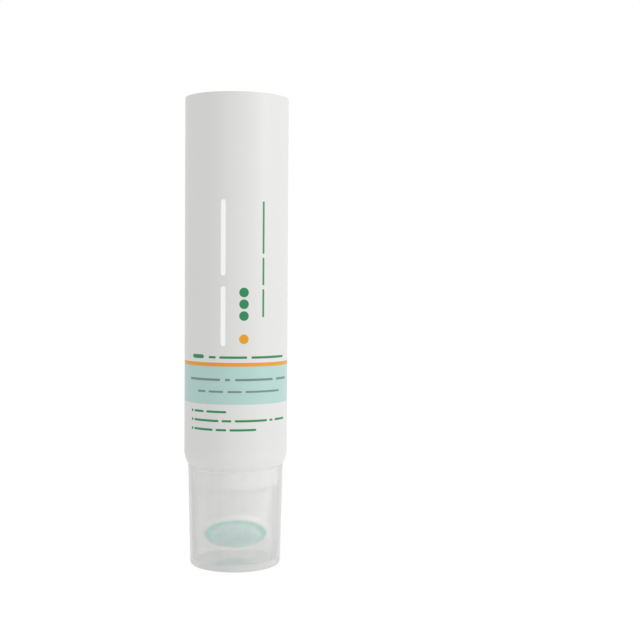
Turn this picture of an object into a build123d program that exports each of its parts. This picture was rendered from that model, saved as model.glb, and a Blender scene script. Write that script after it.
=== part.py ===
from build123d import *

import math
import os

# A face wash tube that stands on its cap. Z is the axis of the tube, Z = 0 is the underside of
# the cap and the printed front faces -Y. Lengths are in millimetres and angles in degrees.
# Sizes run from the outside in: each piece is set by the one around it and a wall or a clearance.

# Tube: a straight sleeve, open at its upper end, on a rounded shoulder with a short wide neck
TUBE_DIAMETER = 40.0
TUBE_LENGTH = 141.5
TUBE_WALL = 0.5
SHOULDER_HEIGHT = 5.0
SHOULDER_INSET = 1.4
SHOULDER_WALL = 1.2
NECK_LENGTH = 8.0
NECK_WALL = 1.2
SNAP_BEAD_HEIGHT = 0.35
SNAP_BEAD_LENGTH = 1.6
SNAP_BEAD_INSET = 1.0

# Overcap: a drafted cup whose lip closes against the shoulder
CAP_LENGTH = 39.5
CAP_DRAFT = 0.95
CAP_LIP_INSET = 0.1
CAP_WALL = 1.1
CAP_FLOOR = 1.2
CAP_BASE_ROUND = 1.2
CAP_FLOOR_ROUND = 1.0
CAP_LIP_CHAMFER = 0.25

# Applicator collar: a skirt that the cap grips, around a socket that snaps onto the neck
COLLAR_CLEARANCE = 0.3
COLLAR_WALL = 1.2
COLLAR_RISE = 2.0
COLLAR_ROUND = 0.6
GRIP_BEAD_HEIGHT = 0.15
GRIP_BEAD_LENGTH = 2.4
GRIP_BEAD_DROP = 1.0
POCKET_WIDTH = 1.3
SOCKET_WALL = 1.55
SOCKET_CLEARANCE = 0.05
SOCKET_END_CLEARANCE = 0.2
SOCKET_LEDGE = 1.6

# Applicator dish: a round tray that leans to the front, on a stalk that follows its lean
DISH_TILT = 37.5
DISH_FLOOR_CLEARANCE = 1.6
DISH_SIDE_CLEARANCE = 3.0
DISH_THICKNESS = 3.4
DISH_RIM_WIDTH = 1.75
DISH_RIM_ROUND = 0.9
DISH_LIP_CHAMFER = 0.3
DISH_BACK_ROUND = 1.3
DISH_RECESS = 1.3
DISH_PLATE = 1.2
STALK_INSET = 1.6
STALK_SHIFT = 1.5
STALK_WALL = 1.9
SPOUT_DIAMETER = 3.8
SPOUT_HEIGHT = 1.5
SPOUT_CHAMFER = 0.4
OUTLET_DIAMETER = 1.7

# Brush pad: a soft disc in the dish, with rings of tapered six-sided bristles
PAD_CLEARANCE = 0.05
PAD_THICKNESS = 1.2
PAD_BORDER = 1.75
PAD_CHAMFER = 0.25
BRISTLE_DIAMETER = 0.7
BRISTLE_HEIGHT = 1.6
BRISTLE_ROOT = 0.3
BRISTLE_TAPER = 5.0
BRISTLE_PITCH = 1.2
BRISTLE_SIDES = 6

# How far a cut runs past the face it opens
OVERRUN = 1.0

# Radii and levels that the pieces share
tube_radius = TUBE_DIAMETER / 2
seat_radius = tube_radius - SHOULDER_INSET
seat_level = CAP_LENGTH
mouth_radius = seat_radius - CAP_LIP_INSET
base_radius = mouth_radius - CAP_DRAFT
bore_at_mouth = mouth_radius - CAP_WALL
bore_at_base = base_radius - CAP_WALL


def cap_bore(level):
    """Inner radius of the overcap at a height above its underside."""
    return bore_at_base + (bore_at_mouth - bore_at_base) * level / CAP_LENGTH


def facing_down(level, tilt=0.0):
    """Plane at a height on the axis that looks down, leaned to the front by tilt."""
    return Plane.XY.offset(level).rotated((180.0 - tilt, 0, 0))


collar_radius = bore_at_mouth - COLLAR_CLEARANCE
stalk_radius = collar_radius - COLLAR_WALL - POCKET_WIDTH
socket_radius = stalk_radius - SOCKET_WALL
neck_radius = socket_radius - SOCKET_CLEARANCE
neck_bore = neck_radius - NECK_WALL
socket_end = seat_level - NECK_LENGTH - SOCKET_END_CLEARANCE
stalk_top = socket_end - SOCKET_LEDGE
collar_end = stalk_top + COLLAR_RISE
snap_low = seat_level - NECK_LENGTH + SNAP_BEAD_INSET
snap_high = snap_low + SNAP_BEAD_LENGTH
snap_middle = (snap_low + snap_high) / 2

dish_radius = bore_at_base - DISH_SIDE_CLEARANCE
dish_level = CAP_FLOOR + DISH_FLOOR_CLEARANCE + dish_radius * math.sin(math.radians(DISH_TILT))
dish_face = facing_down(dish_level, DISH_TILT)
dish_axis = Axis(dish_face.origin, dish_face.z_dir)
recess_radius = dish_radius - DISH_RIM_WIDTH
recess_floor = dish_face.offset(-DISH_RECESS)
spout_radius = SPOUT_DIAMETER / 2

with BuildPart() as tube:
    with BuildSketch(Plane.XZ):
        with BuildLine():
            rim_level = seat_level + TUBE_LENGTH
            shoulder_level = seat_level + SHOULDER_HEIGHT
            inner_radius = tube_radius - TUBE_WALL
            neck_end = seat_level - NECK_LENGTH
            head_level = seat_level + SHOULDER_WALL
            Polyline((inner_radius, rim_level), (tube_radius, rim_level), (tube_radius, shoulder_level))
            TangentArc((tube_radius, shoulder_level), (seat_radius, seat_level), tangent=(0, -1))
            Polyline(
                (seat_radius, seat_level),
                (neck_radius, seat_level),
                (neck_radius, snap_high),
                (neck_radius + SNAP_BEAD_HEIGHT, snap_middle),
                (neck_radius, snap_low),
                (neck_radius, neck_end),
                (neck_bore, neck_end),
                (neck_bore, head_level),
                (seat_radius - SHOULDER_WALL, head_level),
                (inner_radius, shoulder_level),
                (inner_radius, rim_level),
            )
        make_face()
    revolve(axis=Axis.Z)

with BuildPart() as overcap:
    with BuildSketch(Plane.XZ):
        with BuildLine():
            Polyline(
                (0, 0),
                (base_radius, 0),
                (mouth_radius, CAP_LENGTH),
                (bore_at_mouth, CAP_LENGTH),
                (cap_bore(CAP_FLOOR), CAP_FLOOR),
                (0, CAP_FLOOR),
                close=True,
            )
        make_face()
    revolve(axis=Axis.Z)
    rings = overcap.edges().filter_by(GeomType.CIRCLE).group_by(Axis.Z)
    fillet(rings[0], CAP_BASE_ROUND)
    fillet(rings[1], CAP_FLOOR_ROUND)
    chamfer(rings[-1].sort_by(SortBy.RADIUS)[0], CAP_LIP_CHAMFER)

with BuildPart() as applicator:
    # Dish, rounded at its front rim and at its back
    with BuildSketch(dish_face):
        Circle(dish_radius)
    extrude(amount=-DISH_THICKNESS)
    fillet(applicator.edges().filter_by(GeomType.CIRCLE).sort_by(dish_axis)[-1], DISH_RIM_ROUND)
    fillet(applicator.edges().filter_by(GeomType.CIRCLE).sort_by(dish_axis)[0], DISH_BACK_ROUND)

    # Collar and socket, with a pocket between them and a groove for the bead on the neck
    with BuildSketch(Plane.XZ) as collar_section:
        with BuildLine():
            grip_high = seat_level - GRIP_BEAD_DROP
            grip_low = grip_high - GRIP_BEAD_LENGTH
            grip_middle = (grip_high + grip_low) / 2
            collar_corner = (cap_bore(collar_end) - COLLAR_CLEARANCE, collar_end)
            pocket_radius = collar_radius - COLLAR_WALL
            pocket_end = collar_end + COLLAR_WALL
            Polyline(
                (socket_radius, seat_level),
                (stalk_radius, seat_level),
                (stalk_radius, pocket_end),
                (pocket_radius, pocket_end),
                (pocket_radius, seat_level),
                (collar_radius, seat_level),
                (collar_radius, grip_high),
            )
            ThreePointArc(
                (collar_radius, grip_high),
                (collar_radius + GRIP_BEAD_HEIGHT, grip_middle),
                (collar_radius, grip_low),
            )
            Polyline(
                (collar_radius, grip_low),
                collar_corner,
                (stalk_radius, stalk_top),
                (neck_bore, stalk_top),
                (neck_bore, socket_end),
                (socket_radius, socket_end),
                (socket_radius, snap_low),
                (socket_radius + SNAP_BEAD_HEIGHT, snap_middle),
                (socket_radius, snap_high),
                (socket_radius, seat_level),
            )
        make_face()
        fillet(collar_section.vertices().sort_by_distance(collar_corner)[0], COLLAR_ROUND)
    revolve(axis=Axis.Z)

    # Stalk, from the round socket to a circle in the back of the leaning dish
    with BuildSketch(facing_down(stalk_top)):
        Circle(stalk_radius)
    with BuildSketch(dish_face.offset(DISH_BACK_ROUND - DISH_THICKNESS)):
        with Locations((0, STALK_SHIFT)):
            Circle(dish_radius - STALK_INSET)
    loft()

    # Way through the stalk, up to the plate that closes the dish
    with BuildSketch(facing_down(stalk_top)):
        Circle(neck_bore)
    with BuildSketch(recess_floor.offset(-DISH_PLATE)):
        with Locations((0, STALK_SHIFT)):
            Circle(dish_radius - STALK_INSET - STALK_WALL)
    loft(mode=Mode.SUBTRACT)

    # Recess for the brush pad, and the spout that stands in it
    with BuildSketch(dish_face):
        Circle(recess_radius)
    extrude(amount=-DISH_RECESS, mode=Mode.SUBTRACT)
    chamfer(applicator.edges(Select.LAST).filter_by(GeomType.CIRCLE).sort_by(dish_axis)[-1], DISH_LIP_CHAMFER)
    with BuildSketch(recess_floor):
        Circle(spout_radius)
    extrude(amount=SPOUT_HEIGHT)
    chamfer(applicator.edges(Select.LAST).filter_by(GeomType.CIRCLE).sort_by(dish_axis)[-1], SPOUT_CHAMFER)
    with BuildSketch(recess_floor.offset(SPOUT_HEIGHT + OVERRUN)):
        Circle(OUTLET_DIAMETER / 2)
    extrude(amount=-SPOUT_HEIGHT - DISH_PLATE - 2 * OVERRUN, mode=Mode.SUBTRACT)

# One bristle, with a root that sinks into the pad
with BuildPart() as bristle:
    with BuildSketch():
        RegularPolygon(BRISTLE_DIAMETER / 2, BRISTLE_SIDES)
    extrude(amount=BRISTLE_ROOT + BRISTLE_HEIGHT, taper=BRISTLE_TAPER)

with BuildPart() as brush_pad:
    pad_radius = recess_radius - PAD_CLEARANCE
    pad_hole = spout_radius + PAD_CLEARANCE
    with BuildSketch(recess_floor):
        Circle(pad_radius)
        Circle(pad_hole, mode=Mode.SUBTRACT)
    extrude(amount=PAD_THICKNESS)
    chamfer(brush_pad.edges().filter_by(GeomType.CIRCLE).group_by(dish_axis)[-1], PAD_CHAMFER)

    # Bristles in rings from the spout out to the plain border
    bristles = []
    ring_radius = pad_hole + BRISTLE_PITCH
    while ring_radius < pad_radius - PAD_BORDER:
        around = round(2 * math.pi * ring_radius / BRISTLE_PITCH)
        with Locations(recess_floor.offset(PAD_THICKNESS - BRISTLE_ROOT)):
            with PolarLocations(ring_radius, around) as ring:
                bristles += [bristle.part.moved(place) for place in ring.locations]
        ring_radius += BRISTLE_PITCH
    add(bristles)

os.makedirs("parts", exist_ok=True)

tube.part.label = "tube"
export_step(tube.part, "parts/tube.step")

overcap.part.label = "overcap"
export_step(overcap.part, "parts/overcap.step")

applicator.part.label = "applicator"
export_step(applicator.part, "parts/applicator.step")

brush_pad.part.label = "brush_pad"
export_step(brush_pad.part, "parts/brush_pad.step")
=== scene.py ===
# %% [markdown]
# # A face wash tube with a brush head
# The object is a round squeeze tube that stands on its clear cap. Under the cap sits a white
# head with a slanting dish, and in the dish a mint pad of soft bristles. The solid model gives
# every form its place, so this lesson loads it first and then works on finishes: a printed
# satin skin, a moulded head, a soft pad with real bristles, and a milky clear cap.

# %% Load the frame
import math

import bmesh
import bpy
from mathutils import Matrix, Vector


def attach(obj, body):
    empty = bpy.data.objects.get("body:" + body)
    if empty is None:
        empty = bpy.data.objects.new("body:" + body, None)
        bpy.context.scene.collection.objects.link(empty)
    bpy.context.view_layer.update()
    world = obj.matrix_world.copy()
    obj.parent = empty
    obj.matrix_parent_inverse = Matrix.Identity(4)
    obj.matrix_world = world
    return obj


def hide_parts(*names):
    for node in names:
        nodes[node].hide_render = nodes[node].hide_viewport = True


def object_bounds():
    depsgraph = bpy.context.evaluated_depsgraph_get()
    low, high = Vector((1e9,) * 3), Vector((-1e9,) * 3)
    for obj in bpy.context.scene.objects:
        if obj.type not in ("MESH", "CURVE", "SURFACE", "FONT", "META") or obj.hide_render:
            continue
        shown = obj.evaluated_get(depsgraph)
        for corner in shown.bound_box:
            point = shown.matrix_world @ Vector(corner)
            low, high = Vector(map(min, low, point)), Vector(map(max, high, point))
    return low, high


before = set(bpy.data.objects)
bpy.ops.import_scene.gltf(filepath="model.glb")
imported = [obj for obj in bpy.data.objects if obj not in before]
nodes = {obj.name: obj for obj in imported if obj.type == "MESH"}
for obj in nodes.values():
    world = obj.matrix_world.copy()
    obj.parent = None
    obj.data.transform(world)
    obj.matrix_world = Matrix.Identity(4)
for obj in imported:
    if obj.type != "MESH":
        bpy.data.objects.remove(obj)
cad_low, cad_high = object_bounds()
scene = bpy.context.scene
MM = 0.001
print("nodes:", sorted(nodes), "height in mm:", round((cad_high.z - cad_low.z) / MM, 2))

# %% [markdown]
# ## Shader maths in plain Python
# A finish is mostly arithmetic on places: how far round the tube, how high, how near to a line.
# Each step of that could be a Math node added and linked by hand, but a page of such lines hides
# the idea. So one small class wraps a socket. Arithmetic on it adds the Math nodes, `&` and `|`
# take the smaller and the larger value, and every other kind of node comes from its one method
# `node`.


# %% A socket that takes part in arithmetic
class Wire:
    """An output socket of a node tree, or the bare tree when there is no socket yet."""

    def __init__(self, tree, socket=None):
        self.tree = tree
        self.socket = socket

    def node(self, kind, settings=None, sockets=None, out=0):
        """Adds a node: its settings first, then values or links for its sockets."""
        made = self.tree.nodes.new("ShaderNode" + kind)
        for name, value in (settings or {}).items():
            setattr(made, name, value)
        for name, value in (sockets or {}).items():
            if isinstance(value, Wire):
                self.tree.links.new(value.socket, made.inputs[name])
            else:
                made.inputs[name].default_value = value
        return Wire(self.tree, made.outputs[out] if made.outputs else None)

    def math(self, operation, *values):
        """A Math node on wires and numbers."""
        return self.node("Math", {"operation": operation}, dict(enumerate(values)))

    def share(self):
        """The value, held between 0 and 1."""
        return (self | 0.0) & 1.0

    def __add__(self, other):
        return self.math("ADD", self, other)

    def __sub__(self, other):
        return self.math("SUBTRACT", self, other)

    def __rsub__(self, other):
        return self.math("SUBTRACT", other, self)

    def __mul__(self, other):
        return self.math("MULTIPLY", self, other)

    def __truediv__(self, other):
        return self.math("DIVIDE", self, other)

    def __rtruediv__(self, other):
        return self.math("DIVIDE", other, self)

    def __pow__(self, other):
        return self.math("POWER", self, other)

    def __rpow__(self, other):
        return self.math("POWER", other, self)

    def __lt__(self, other):
        return self.math("LESS_THAN", self, other)

    def __gt__(self, other):
        return self.math("GREATER_THAN", self, other)

    def __and__(self, other):
        return self.math("MINIMUM", self, other)

    def __or__(self, other):
        return self.math("MAXIMUM", self, other)

    def __abs__(self):
        return self.math("ABSOLUTE", self)

    __radd__ = __add__
    __rmul__ = __mul__
    __rand__ = __and__
    __ror__ = __or__


print("operators ready:", [name for name in vars(Wire) if name.startswith("__")][2:])


# %% Mixing colours and mixing shaders
MIX_FIRST = 6
MIX_SECOND = 7
MIX_COLOUR = 2


def blend(factor, first, second):
    """The colour first where factor is 0 and second where it is 1."""
    sockets = {0: factor, MIX_FIRST: first, MIX_SECOND: second}
    return factor.node("Mix", {"data_type": "RGBA"}, sockets, out=MIX_COLOUR)


def cover(factor, below, above):
    """The shader below where factor is 0 and the one above it where factor is 1."""
    return below.node("MixShader", sockets={0: factor, 1: below, 2: above})


print("a Mix node has its colours at", MIX_FIRST, "and", MIX_SECOND)

# %% [markdown]
# ## Places on the surface, in millimetres
# Print and moulding marks belong to the surface, so their pattern has to move with the piece.
# UV maps would do, but the solids carry none. Object coordinates do as well: each solid sits at
# the origin with its place in its mesh, so they read as the drawing's own millimetres.


# %% New materials and their coordinates
def rgb(red, green, blue):
    """A colour as Blender's sockets take it, with nothing see-through."""
    return (red, green, blue, 1.0)


def new_material(name):
    """An empty node material and a Wire on its tree."""
    material = bpy.data.materials.new(name)
    material.use_nodes = True
    material.node_tree.nodes.clear()
    return material, Wire(material.node_tree)


def millimetres(bench):
    """The point on the surface, in the frame's millimetres: the vector, then x, y and z."""
    point = bench.node("TexCoord", out="Object")
    scaled = bench.node("VectorMath", {"operation": "SCALE"}, {0: point, "Scale": 1 / MM})
    parts = [bench.node("SeparateXYZ", sockets={0: scaled}, out=axis) for axis in "XYZ"]
    return scaled, *parts


print("coordinates in mm:", 1 / MM, "to the metre")


# %% Noise, bumps and dressing a piece
SOFT_DETAIL = 2.0
FINE_DETAIL = 3.0


def noise(bench, point, scale, detail=SOFT_DETAIL):
    """Soft random values from 0 to 1; scale counts the spots in a millimetre."""
    sockets = {"Vector": point, "Scale": scale, "Detail": detail}
    return bench.node("TexNoise", sockets=sockets)


def bump(bench, height, depth_mm, strength):
    """A bumped normal for a height that runs from 0 to 1 over depth_mm."""
    sockets = {"Strength": strength, "Distance": depth_mm * MM, "Height": height}
    return bench.node("Bump", sockets=sockets)


def show(shader):
    """Sends a shader to the material's output."""
    shader.node("OutputMaterial", sockets={"Surface": shader})


def dress(thing, material):
    """Puts one material on all of a piece."""
    thing.data.materials.clear()
    thing.data.materials.append(material)
    print(thing.name, "wears", material.name, "of", len(material.node_tree.nodes), "nodes")


print("noise detail, soft and fine:", SOFT_DETAIL, FINE_DETAIL)

# %% [markdown]
# ## The printed skin of the tube
# The tube is an extruded polyethylene sleeve, white right through, with a satin face. Ink goes
# on in flat fields: a mint band, a thin orange line over it, and rows of small print, here plain
# rounded bars. Cutting the fields into the mesh would work, but print has no thickness to speak
# of, so masks in the shader suit it better. Unrolling the tube gives them two axes: `around`,
# the way round from the front centre, and `height`.

# %% Fields and rows of print, in millimetres
MINT_BAND = (64.2, 78.5)
ORANGE_LINE = (78.5, 79.95)
LEVEL_ROWS = {
    "green": [
        (82.1, 0.75, [(-19.0, -13.0)]),
        (81.9, 0.45, [(-10.8, -7.8), (-6.4, 4.2), (5.8, 22.0)]),
        (61.4, 0.42, [(-18.0, -13.0), (-11.8, -3.6)]),
        (58.0, 0.42, [(-18.0, -6.6), (-5.4, -1.6), (-0.4, 12.6), (13.8, 15.4), (16.6, 22.9)]),
        (54.6, 0.42, [(-18.0, -9.0), (-7.8, -3.6), (-2.4, 7.9)]),
        (61.4, 0.55, [(-19.8, -18.7)]),
        (58.0, 0.55, [(-19.8, -18.7)]),
        (54.6, 0.55, [(-19.8, -18.7)]),
    ],
    "grey": [
        (73.5, 0.45, [(-20.6, -6.0), (-4.2, -2.2), (-0.4, 15.4), (17.2, 24.5)]),
        (69.0, 0.38, [(-16.0, -12.2), (-10.8, -4.8), (-3.2, 2.2), (3.6, 19.2)]),
    ],
}
UPRIGHT_ROWS = {
    "green": [
        (2.9, 1.8, [(95.7, 99.3), (100.1, 103.7), (104.5, 108.1)]),
        (10.6, 0.4, [(97.0, 107.6), (109.0, 119.4), (120.8, 140.5)]),
    ],
    "orange": [(2.9, 1.8, [(87.0, 90.6)])],
    "foil": [(-5.0, 0.9, [(86.2, 108.6), (112.6, 141.0)])],
}
all_rows = [*LEVEL_ROWS.values(), *UPRIGHT_ROWS.values()]
print("bars of print:", sum(len(spans) for rows in all_rows for _, _, spans in rows))


# %% Masks for fields and bars
def band(place, limits):
    """1 between two limits, 0 elsewhere."""
    low, high = limits
    return (place > low) & (place < high)


def bars(along, across, row):
    """1 inside the round-ended bars of one row: (its line, half width, [(start, end), ...])."""
    line, half_width, spans = row
    beyond = None
    for start, end in spans:
        past_end = abs(along - (start + end) / 2) - ((end - start) / 2 - half_width)
        beyond = past_end if beyond is None else beyond & past_end
    beyond = beyond | 0.0
    off_line = across - line
    return beyond * beyond + off_line * off_line < half_width * half_width


def all_bars(along, across, rows):
    """1 inside any bar of several rows."""
    masks = [bars(along, across, row) for row in rows]
    joined = masks[0]
    for mask in masks[1:]:
        joined = joined | mask
    return joined


print("the band is", round(MINT_BAND[1] - MINT_BAND[0], 2), "mm tall")

# %% The fields on the unrolled tube
TUBE_RADIUS = 20.0
SKIN_DEPTH = 0.25

tube_skin, bench = new_material("tube_skin")
point, x, y, height = millimetres(bench)
around = bench.math("ARCTAN2", x, 0.0 - y) * TUBE_RADIUS
outside = x * x + y * y > (TUBE_RADIUS - SKIN_DEPTH) ** 2

mint = band(height, MINT_BAND) & outside
orange_bars = all_bars(height, around, UPRIGHT_ROWS["orange"])
orange = (band(height, ORANGE_LINE) | orange_bars) & outside
green_level = all_bars(around, height, LEVEL_ROWS["green"])
green = (green_level | all_bars(height, around, UPRIGHT_ROWS["green"])) & outside
grey = all_bars(around, height, LEVEL_ROWS["grey"]) & outside
foil = all_bars(height, around, UPRIGHT_ROWS["foil"]) & outside
print("nodes for the masks:", len(tube_skin.node_tree.nodes))

# %% [markdown]
# Under the ink the white is not quite even. Extruded plastic is faintly cloudy. The shoulder is
# moulded onto the sleeve, and low on it the white is painted lighter: painted light against the
# shade where the tube turns down over the cap. A grain of a few tenths of a millimetre breaks the
# gloss into satin.

# %% The white under the ink
WHITE_SKIN = rgb(0.835, 0.835, 0.817)
CLOUD_WHITE = rgb(0.74, 0.75, 0.74)
CLOUD_SHARE = 0.05
CLOUD_SCALE = 0.12
SHOULDER_PAINTED_LIGHT = rgb(0.895, 0.895, 0.877)
SHOULDER_TOP = 48.0
SHOULDER_LOW = 40.5

cloudy = noise(bench, point, CLOUD_SCALE)
colour = blend(cloudy * CLOUD_SHARE, WHITE_SKIN, CLOUD_WHITE)
# Painted light: the white lightens towards the foot of the shoulder.
shoulder = ((SHOULDER_TOP - height) / (SHOULDER_TOP - SHOULDER_LOW)).share()
colour = blend(shoulder ** 2.0, colour, SHOULDER_PAINTED_LIGHT)
print("the shoulder whitens over", SHOULDER_TOP - SHOULDER_LOW, "mm")

# %% Inks and foil on the white
MINT_INK = rgb(0.50, 0.725, 0.675)
ORANGE_INK = rgb(0.89, 0.37, 0.004)
GREEN_INK = rgb(0.01, 0.26, 0.09)
GREY_INK = rgb(0.19, 0.28, 0.26)
SILVER_FOIL = rgb(0.92, 0.92, 0.91)

inks = [(mint, MINT_INK), (orange, ORANGE_INK), (green, GREEN_INK), (grey, GREY_INK)]
for mask, ink in [*inks, (foil, SILVER_FOIL)]:
    colour = blend(mask, colour, ink)
ink_film = mint | orange | green | grey
print("inks:", len(inks), "and one foil")

# %% Satin, and the finished skin
SKIN_SATIN = 0.40
GRAIN_SCALE = 2.4
GRAIN_DULLS = 0.08
INK_SMOOTHS = 0.05
FOIL_SMOOTHS = 0.17
GRAIN_DEPTH = 0.01
GRAIN_STRENGTH = 0.25

grain = noise(bench, point, GRAIN_SCALE, FINE_DETAIL)
satin = SKIN_SATIN + GRAIN_DULLS * grain
sockets = {
    "Base Color": colour,
    "Roughness": satin - INK_SMOOTHS * ink_film - FOIL_SMOOTHS * foil,
    "Metallic": foil,
    "Normal": bump(bench, grain, GRAIN_DEPTH, GRAIN_STRENGTH),
}
show(bench.node("BsdfPrincipled", sockets=sockets))
dress(nodes["tube"], tube_skin)

# %% [markdown]
# ## The white head
# The head is one moulding in polypropylene: collar, socket, hollow stalk and slanting dish. Such
# a moulding has a satin face with a very fine sparkle from the spark-eroded mould, and its gloss
# drifts a little from place to place. Two sizes of noise give both. Light sinks a millimetre or
# so into white plastic before it comes out again, which keeps the collar pale under the cap's
# mouth. A lighter paint would brighten the whole head, so the shader's subsurface does it.

# %% The head's material
HEAD_WHITE = rgb(0.93, 0.93, 0.92)
HEAD_SHADE = rgb(0.81, 0.815, 0.81)
SHADE_SHARE = 0.2
FLOW_SCALE = 0.25
SPARKLE_SCALE = 5.0
SPARKLE_DEPTH = 0.012
SPARKLE_STRENGTH = 0.3
HEAD_SATIN = 0.30
FLOW_DULLS = 0.10
SPARKLE_DULLS = 0.06
HEAD_SOFT_SHARE = 0.6
HEAD_SOFT_DEPTH = 1.5
ALL_COLOURS_ALIKE = (1.0, 1.0, 1.0)

head_white, bench = new_material("head_white")
point, x, y, height = millimetres(bench)
flow = noise(bench, point, FLOW_SCALE)
sparkle = noise(bench, point, SPARKLE_SCALE, FINE_DETAIL)
sockets = {
    "Base Color": blend(flow * SHADE_SHARE, HEAD_WHITE, HEAD_SHADE),
    "Subsurface Weight": HEAD_SOFT_SHARE,
    "Subsurface Radius": ALL_COLOURS_ALIKE,
    "Subsurface Scale": HEAD_SOFT_DEPTH * MM,
    "Roughness": HEAD_SATIN + FLOW_DULLS * flow + SPARKLE_DULLS * sparkle,
    "Normal": bump(bench, sparkle, SPARKLE_DEPTH, SPARKLE_STRENGTH),
}
show(bench.node("BsdfPrincipled", sockets=sockets))
dress(nodes["applicator"], head_white)

# %% [markdown]
# ## The bristle pad
# The pad is a soft elastomer disc with rings of short bristles, moulded in one piece and pressed
# into the dish round the outlet. The solid has the same disc with plain six-sided pegs. Here the
# disc gets rounded edges, and each bristle is a round taper with a domed tip, leaning a
# little its own way as soft ones do. A particle system could scatter them, but the real ones
# stand in rings, so a short loop places every one.

# %% Where the dish is and which way it looks
DISH_TILT = math.radians(37.5)
DISH_RADIUS = 13.45
DISH_LOWEST = 2.8

dish_level = DISH_LOWEST + DISH_RADIUS * math.sin(DISH_TILT)
facing = Vector((0.0, -math.sin(DISH_TILT), -math.cos(DISH_TILT)))
sideways = Vector((1.0, 0.0, 0.0))
upward = facing.cross(sideways)
dish_place = Matrix((sideways, upward, facing)).transposed().to_4x4()
dish_place.translation = Vector((0.0, 0.0, dish_level))
print("the pad looks along", [round(v, 3) for v in facing])


# %% Turned forms
def spin(mesh, profile, sides, place, closed=False):
    """Sweeps (radius, height) points round the z axis of place; radius 0 makes a pole."""
    rings = []
    for radius, level in profile:
        if radius == 0:
            rings.append([mesh.verts.new(place @ Vector((0.0, 0.0, level)))])
            continue
        turns = [2 * math.pi * k / sides for k in range(sides)]
        corners = [Vector((radius * math.cos(t), radius * math.sin(t), level)) for t in turns]
        rings.append([mesh.verts.new(place @ corner) for corner in corners])
    pairs = list(zip(rings, rings[1:]))
    if closed:
        pairs.append((rings[-1], rings[0]))
    for low, high in pairs:
        for k in range(sides):
            n = (k + 1) % sides
            quad = [low[k % len(low)], low[n % len(low)], high[n % len(high)], high[k % len(high)]]
            mesh.faces.new(list(dict.fromkeys(quad)))


def rounded(corner_radius, corner_level, edge, start, steps=5):
    """A quarter round of a profile about a centre, from the angle start, in degrees."""
    turns = [math.radians(start + 90 * k / (steps - 1)) for k in range(steps)]
    return [(corner_radius + edge * math.cos(t), corner_level + edge * math.sin(t)) for t in turns]


print("points in a quarter round:", len(rounded(1.0, 0.0, 0.5, 0)))

# %% The disc of the pad
DISH_RIM = 1.8
RECESS = 1.3
PAD_HOLE = 1.95
PAD_THICKNESS = 1.2
PAD_EDGE = 0.3
PAD_SIDES = 128

pad_radius = DISH_RADIUS - DISH_RIM
pad_floor = -RECESS
pad_face = pad_floor + PAD_THICKNESS
profile = [(PAD_HOLE, pad_floor), (pad_radius, pad_floor)]
profile += rounded(pad_radius - PAD_EDGE, pad_face - PAD_EDGE, PAD_EDGE, 0)
profile += rounded(PAD_HOLE + PAD_EDGE, pad_face - PAD_EDGE, PAD_EDGE, 90)

pad_mesh = bmesh.new()
spin(pad_mesh, profile, PAD_SIDES, dish_place, closed=True)
print("disc radius in mm:", round(pad_radius, 2), "faces:", len(pad_mesh.faces))

# %% The form of one bristle
BRISTLE_HEIGHT = 1.6
BRISTLE_RADIUS = 0.35
TIP_RADIUS = 0.22
ROOT_SINK = 0.05
ROOT_TOP = 0.12
ROOT_FLARE = 1.25
WAIST_FLARE = 1.12
WAIST_SHARE = 0.75
DOME_STEPS = (0, 30, 60)

shaft = BRISTLE_HEIGHT - TIP_RADIUS
bristle = [(BRISTLE_RADIUS * ROOT_FLARE, -ROOT_SINK), (BRISTLE_RADIUS, ROOT_TOP)]
bristle += [(TIP_RADIUS * WAIST_FLARE, shaft * WAIST_SHARE)]
dome = [math.radians(step) for step in DOME_STEPS]
bristle += [(TIP_RADIUS * math.cos(a), shaft + TIP_RADIUS * math.sin(a)) for a in dome]
bristle += [(0, BRISTLE_HEIGHT)]
print("points along a bristle:", len(bristle))

# %% Rings of bristles
PAD_BORDER = 1.75
BRISTLE_PITCH = 1.2
BRISTLE_SIDES = 10
LEAN = 0.05
LEAN_TURNS = (2.4, 3.7)

count = 0
ring = PAD_HOLE + BRISTLE_PITCH
while ring < pad_radius - PAD_BORDER:
    number = round(2 * math.pi * ring / BRISTLE_PITCH)
    for k in range(number):
        turn = 2 * math.pi * k / number
        root = Vector((ring * math.cos(turn), ring * math.sin(turn), pad_face))
        sway, nod = [count * step for step in LEAN_TURNS]
        lean = Vector((math.sin(sway), math.cos(nod), 0.0)) * LEAN
        stand = (Vector((0.0, 0.0, 1.0)) + lean).to_track_quat("Z", "Y").to_matrix().to_4x4()
        spin(pad_mesh, bristle, BRISTLE_SIDES, dish_place @ Matrix.Translation(root) @ stand)
        count += 1
    ring += BRISTLE_PITCH
print("bristles:", count)

# %% The pad as an object
bmesh.ops.scale(pad_mesh, vec=(MM, MM, MM), verts=pad_mesh.verts)
bmesh.ops.recalc_face_normals(pad_mesh, faces=pad_mesh.faces)
pad_data = bpy.data.meshes.new("bristle_pad")
pad_mesh.to_mesh(pad_data)
pad_mesh.free()
pad_data.shade_smooth()
bristle_pad = bpy.data.objects.new("bristle_pad", pad_data)
scene.collection.objects.link(bristle_pad)
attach(bristle_pad, "tube")
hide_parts("brush_pad")
print("pad faces:", len(pad_data.polygons))

# %% [markdown]
# The colour is paler up the bristles and deeper low between them. The pale tips are partly thin
# rubber that lets light through and partly painted light, and the deeper colour between the
# bristles is painted shade. The height above the dish says how far up a bristle a point is, so the
# colour follows it. The plain border outside the rings is painted a deeper mint: partly the
# elastomer's own colour, partly painted shade of the dish's rim. Light sinks a little way into the
# rubber as well. With a greater depth it would leak out of the thin bristles and leave them grey.

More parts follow.
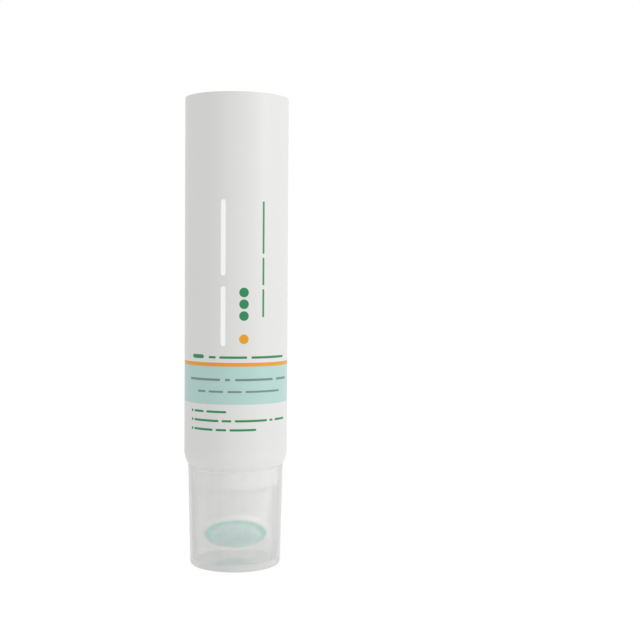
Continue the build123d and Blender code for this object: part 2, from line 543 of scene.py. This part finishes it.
# %% Places on the pad
pad_mint, bench = new_material("pad_mint")
point, x, y, height = millimetres(bench)
above_dish = y * facing.y + (height - dish_level) * facing.z
up_bristle = ((above_dish - pad_face) / BRISTLE_HEIGHT).share()
up_dish = y * upward.y + (height - dish_level) * upward.z
border = x * x + up_dish * up_dish > (pad_radius - PAD_BORDER) ** 2
print("plain border in mm:", PAD_BORDER)

# %% The pad's material
DEEP_MINT_AND_ROOT_SHADE = rgb(0.61, 0.95, 0.87)
PALE_MINT_AND_TIP_LIGHT = rgb(0.83, 1.0, 0.965)
MINT_BORDER_AND_RIM_SHADE = rgb(0.28, 0.84, 0.685)
TIP_PALES_AND_LIGHT = 0.85
MOTTLE_PALES = 0.15
MOTTLE_SCALE = 1.5
RUBBER_SCALE = 6.0
RUBBER_DEPTH = 0.01
RUBBER_STRENGTH = 0.3
RUBBER_MATT = 0.48
RUBBER_DULLS = 0.12
PAD_SOFT_SHARE = 0.8
PAD_SOFT_DEPTH = 0.25

mottle = noise(bench, point, MOTTLE_SCALE)
rubber = noise(bench, point, RUBBER_SCALE, FINE_DETAIL)
# Painted light and shade: paler towards the bristle tips, deeper at their roots between them.
field_light_and_shade = blend(up_bristle * TIP_PALES_AND_LIGHT + mottle * MOTTLE_PALES, DEEP_MINT_AND_ROOT_SHADE, PALE_MINT_AND_TIP_LIGHT)
sockets = {
    # The border's deeper mint is partly the elastomer's colour and partly painted shade of the
    # rim.
    "Base Color": blend(border * (1.0 - up_bristle), field_light_and_shade, MINT_BORDER_AND_RIM_SHADE),
    "Subsurface Weight": PAD_SOFT_SHARE,
    "Subsurface Radius": ALL_COLOURS_ALIKE,
    "Subsurface Scale": PAD_SOFT_DEPTH * MM,
    "Roughness": RUBBER_MATT + RUBBER_DULLS * rubber,
    "Normal": bump(bench, rubber, RUBBER_DEPTH, RUBBER_STRENGTH),
}
show(bench.node("BsdfPrincipled", sockets=sockets))
dress(bristle_pad, pad_mint)

# %% [markdown]
# ## The milky clear cap
# The cap is natural polypropylene, about a millimetre thick: clear enough to show the pad, milky
# enough to soften it. Glass with a rough face comes near, but it bends every ray and bars the
# lamps from what is inside. A mix suits this thin wall better: part of the light goes straight
# through, part scatters in the milk, and the face adds its own gloss. The first step is to name
# the parts of the cap: the inside of the wall, the floor, the lip with its rounded mouth edge,
# and the base, where the eye looks along a solid plate instead of across a thin wall.

# %% Parts of the cap, in millimetres
CAP_LENGTH = 39.5
MIDDLE_AT_BASE = 17.0
MIDDLE_AT_MOUTH = 17.95
FLOOR_TOP = 1.3
LIP_DEPTH = 1.6
MOUTH_EDGE = 0.5
BASE_TOP = 3.4
BASE_FADE = 2.0

cap_clear, bench = new_material("cap_clear")
point, x, y, height = millimetres(bench)
widening = (MIDDLE_AT_MOUTH - MIDDLE_AT_BASE) / CAP_LENGTH
wall_middle = MIDDLE_AT_BASE + widening * height
inside = x * x + y * y < wall_middle * wall_middle
floor_top = inside & (height < FLOOR_TOP)
lip = height > CAP_LENGTH - LIP_DEPTH
mouth = height > CAP_LENGTH - MOUTH_EDGE
base = ((BASE_TOP - height) / BASE_FADE * (1.0 - inside)).share()
print("the wall leans out by", round(math.degrees(math.atan(widening)), 2), "degrees")

# %% [markdown]
# A ray that meets the wall aslant has more milk to cross, so the milk thickens towards the edges,
# as Layer Weight shows. More plastic lets less through: each extra thickness raises the share of
# one wall to a higher power. A wall has two faces, and only the one that looks at the ray counts,
# so that its milk isn't laid on twice. Rays that carry light pass nearly freely, or the pad would
# sit in the dark.

# %% How much of the wall is milk
CLEAR_SHARE = 0.55
EVEN_BLEND = 0.5
EDGE_START = 0.45
EDGE_FADE = 0.25
EDGE_WALLS = 2.0
LIP_WALLS = 0.5
INSIDE_WALLS = 0.6
BASE_WALLS = 4.0
MOUTH_WALLS = 3.0
STREAK_STRETCH = (0.5, 0.5, 0.08)
STREAK_SCALE = 0.6
STREAK_SHARE = 0.08
LIGHT_TAKEN = 0.02

aslant = bench.node("LayerWeight", sockets={"Blend": EVEN_BLEND}, out="Facing")
edge = ((aslant - EDGE_START) / EDGE_FADE).share()
walls = 1.0 + EDGE_WALLS * edge + LIP_WALLS * lip + INSIDE_WALLS * inside
walls = walls + BASE_WALLS * base + MOUTH_WALLS * mouth
through = CLEAR_SHARE ** walls
stretched = bench.node("VectorMath", {"operation": "MULTIPLY"}, {0: point, 1: STREAK_STRETCH})
streaks = noise(bench, stretched, STREAK_SCALE)
near_face = 1.0 - bench.node("NewGeometry", out="Backfacing")
shadow_ray = bench.node("LightPath", out="Is Shadow Ray")
diffuse_ray = bench.node("LightPath", out="Is Diffuse Ray")
carried = shadow_ray | diffuse_ray * (1.0 - floor_top)
milky = (1.0 - through + STREAK_SHARE * (streaks - 0.5)) * near_face
milky = milky * (1.0 - carried * (1.0 - LIGHT_TAKEN))
edge_share = CLEAR_SHARE ** (1.0 + EDGE_WALLS)
print("clear share of a wall and of an edge:", CLEAR_SHARE, round(edge_share, 3))


# %% Two tones of milk: the plain milk and its painted shade
MILK = rgb(0.97, 0.963, 0.946)
MILK_PAINTED_SHADE = rgb(0.66, 0.65, 0.65)
CAP_IOR = 1.49
GLOW_SHARE = 0.3
MILK_GLOSS = 0.16
STREAK_DULLS = 0.08
FINE_SCALE = 4.0
FINE_DEPTH = 0.006
FINE_STRENGTH = 0.2


def milk(bench, tone, roughness, normal):
    """Scattering plastic of one tone, seen by the light it sends back and the light it lets by."""
    sockets = {"Base Color": tone, "Roughness": roughness, "IOR": CAP_IOR, "Normal": normal}
    scatter = bench.node("BsdfPrincipled", sockets=sockets)
    glow = bench.node("BsdfTranslucent", sockets={"Color": tone})
    return cover(GLOW_SHARE, scatter, glow)


fine = noise(bench, point, FINE_SCALE, FINE_DETAIL)
cap_normal = bump(bench, fine, FINE_DEPTH, FINE_STRENGTH)
cap_roughness = MILK_GLOSS + STREAK_DULLS * streaks
light_milk = milk(bench, MILK, cap_roughness, cap_normal)
painted_shade_milk = milk(bench, MILK_PAINTED_SHADE, cap_roughness, cap_normal)
print("light passed on by the milk:", GLOW_SHARE)

# %% [markdown]
# Milk looks darker where less light reaches it: on the inside of the wall, where the wall turns
# away, and in the base. There a greyer copy of the milk takes over as painted shade. The floor of
# the cap is kept free of that painted shade, and being smooth it mirrors the pad above it more
# than the upright wall mirrors the room.

# %% The finished cap
FLOOR_LIGHTENS = 0.95
EDGE_PAINTED_SHADE = 0.8
BASE_PAINTED_SHADE = 0.55
CLEAR_TINT = rgb(0.995, 0.995, 0.995)
SHINE_ROUGHNESS = 0.08
MOST_SHINE = 0.14
FLOOR_SHINE = 0.36

# Painted shade: the greyer milk on the inside, at the turning edges and in the base, not on the
# floor.
painted_shade_share = (inside - FLOOR_LIGHTENS * floor_top) | (edge * EDGE_PAINTED_SHADE) | (base * BASE_PAINTED_SHADE)
milk_body = cover(painted_shade_share, light_milk, painted_shade_milk)
clear = bench.node("BsdfTransparent", sockets={"Color": CLEAR_TINT})
wall = cover(milky, clear, milk_body)
gloss = bench.node("BsdfGlossy", sockets={"Roughness": SHINE_ROUGHNESS, "Normal": cap_normal})
mirrored = bench.node("Fresnel", sockets={"IOR": CAP_IOR, "Normal": cap_normal})
most_shine = MOST_SHINE + (FLOOR_SHINE - MOST_SHINE) * floor_top
shine = ((mirrored * (1.0 + floor_top)) & most_shine) * near_face
show(cover(shine, wall, gloss))
dress(nodes["overcap"], cap_clear)

# %% [markdown]
# ## Floor and light
# The tube stands in a bright white studio. A soft even light from all round fills the shadows,
# and one tall lamp on the right gives the skin its slow change from grey to white. The floor and
# the world are white to the eye: for the rays that look at them, or mirror or see through to
# them, they glow. For the rays that carry light they stay plain, so the tube isn't flooded. A
# share of plain paper stays in the floor's glow, so that the shadow of the tube still shows.

# %% The floor's paper
FLOOR_WHITE = rgb(0.86, 0.86, 0.86)
FLOOR_GLOW = 0.8
GLOW_STRENGTH = 1.09


def looked_at(bench):
    """1 for rays from the camera, a mirror or a clear wall, and 0 for rays that carry light."""
    rays = ("Is Camera Ray", "Is Glossy Ray", "Is Transmission Ray")
    camera_ray, glossy_ray, clear_ray = [bench.node("LightPath", out=ray) for ray in rays]
    return camera_ray | glossy_ray | clear_ray


floor_white, bench = new_material("floor_white")
paper = bench.node("BsdfDiffuse", sockets={"Color": FLOOR_WHITE})
lit = bench.node("Emission", sockets={"Strength": GLOW_STRENGTH})
white_paper = cover(FLOOR_GLOW, paper, lit)
show(cover(looked_at(bench), paper, white_paper))
print("glow of the floor:", round(FLOOR_GLOW * GLOW_STRENGTH, 3), "and its lit paper")

# %% The floor
FLOOR_REACH = 12.0
FLOOR_CORNERS = [(-1, -1), (1, -1), (1, 1), (-1, 1)]

floor_data = bpy.data.meshes.new("floor")
places = [(a * FLOOR_REACH, b * FLOOR_REACH, 0.0) for a, b in FLOOR_CORNERS]
floor_data.from_pydata(places, [], [range(4)])
floor = bpy.data.objects.new("floor", floor_data)
scene.collection.objects.link(floor)
dress(floor, floor_white)
print("floor half width in m:", FLOOR_REACH)

# %% The light from all round
FILL_LEVEL = 0.755
WHITE = rgb(1.0, 1.0, 1.0)

world = bpy.data.worlds.new("studio")
scene.world = world
world.use_nodes = True
world.node_tree.nodes.clear()
bench = Wire(world.node_tree)
level = FILL_LEVEL + looked_at(bench) * (1.0 - FILL_LEVEL)
studio = bench.node("Background", sockets={"Color": WHITE, "Strength": level})
studio.node("OutputWorld", sockets={"Surface": studio})
print("fill level:", FILL_LEVEL)

# %% The tall lamp on the right
LAMP_POWER = 2.95
LAMP_SIZE = (0.22, 0.85)
LAMP_DISTANCE = 1.1
LAMP_TURN = math.radians(62.0)
LAMP_RISE = math.radians(22.0)

lamp_data = bpy.data.lights.new("softbox", "AREA")
lamp_data.shape = "RECTANGLE"
lamp_data.size, lamp_data.size_y = LAMP_SIZE
lamp_data.energy = LAMP_POWER
softbox = bpy.data.objects.new("softbox", lamp_data)
scene.collection.objects.link(softbox)
middle = (cad_low + cad_high) / 2
flat = math.cos(LAMP_RISE)
towards = Vector((math.sin(LAMP_TURN) * flat, -math.cos(LAMP_TURN) * flat, math.sin(LAMP_RISE)))
softbox.location = middle + towards * LAMP_DISTANCE
softbox.rotation_euler = towards.to_track_quat("Z", "Y").to_euler()
print("lamp at", [round(v, 2) for v in softbox.location])

# %% [markdown]
# ## The camera
# The picture was taken from a little above the middle of the tube, from under half a metre, with
# the tube left of the centre. Shifting the lens would place it there too, but the shift would
# stay on in every other view. So the camera turns a few degrees instead.

# %% The lens
FRAME_PIXELS = 640.0
FOCAL_PIXELS = 1155.9
SENSOR = 36.0
CLIP_NEAR = 0.01
CLIP_FAR = 100.0

camera_data = bpy.data.cameras.new("camera")
camera_data.sensor_width = SENSOR
camera_data.lens = FOCAL_PIXELS / FRAME_PIXELS * SENSOR
camera_data.clip_start = CLIP_NEAR
camera_data.clip_end = CLIP_FAR
print("lens in mm:", round(camera_data.lens, 2))

# %% The camera's place and aim
EYE_DISTANCE = 0.4526
EYE_HEIGHT = 0.1115
AXIS_PIXEL = 236.2
HORIZON_PIXEL = 279.1
ROLL = math.radians(0.405)

camera = bpy.data.objects.new("camera", camera_data)
scene.collection.objects.link(camera)
camera.location = (0.0, -EYE_DISTANCE, EYE_HEIGHT)
yaw = math.atan((FRAME_PIXELS / 2 - AXIS_PIXEL) / FOCAL_PIXELS)
pitch = math.atan((FRAME_PIXELS / 2 - HORIZON_PIXEL) / FOCAL_PIXELS)
turned = Matrix.Rotation(-yaw, 4, "Z") @ Matrix.Rotation(math.pi / 2 - pitch, 4, "X")
camera.rotation_euler = (turned @ Matrix.Rotation(ROLL, 4, "Z")).to_euler()
scene.camera = camera
scene.view_settings.view_transform = "Standard"
print("turn and tilt in degrees:", round(math.degrees(yaw), 2), round(math.degrees(pitch), 2))

# %% [markdown]
# ## The end
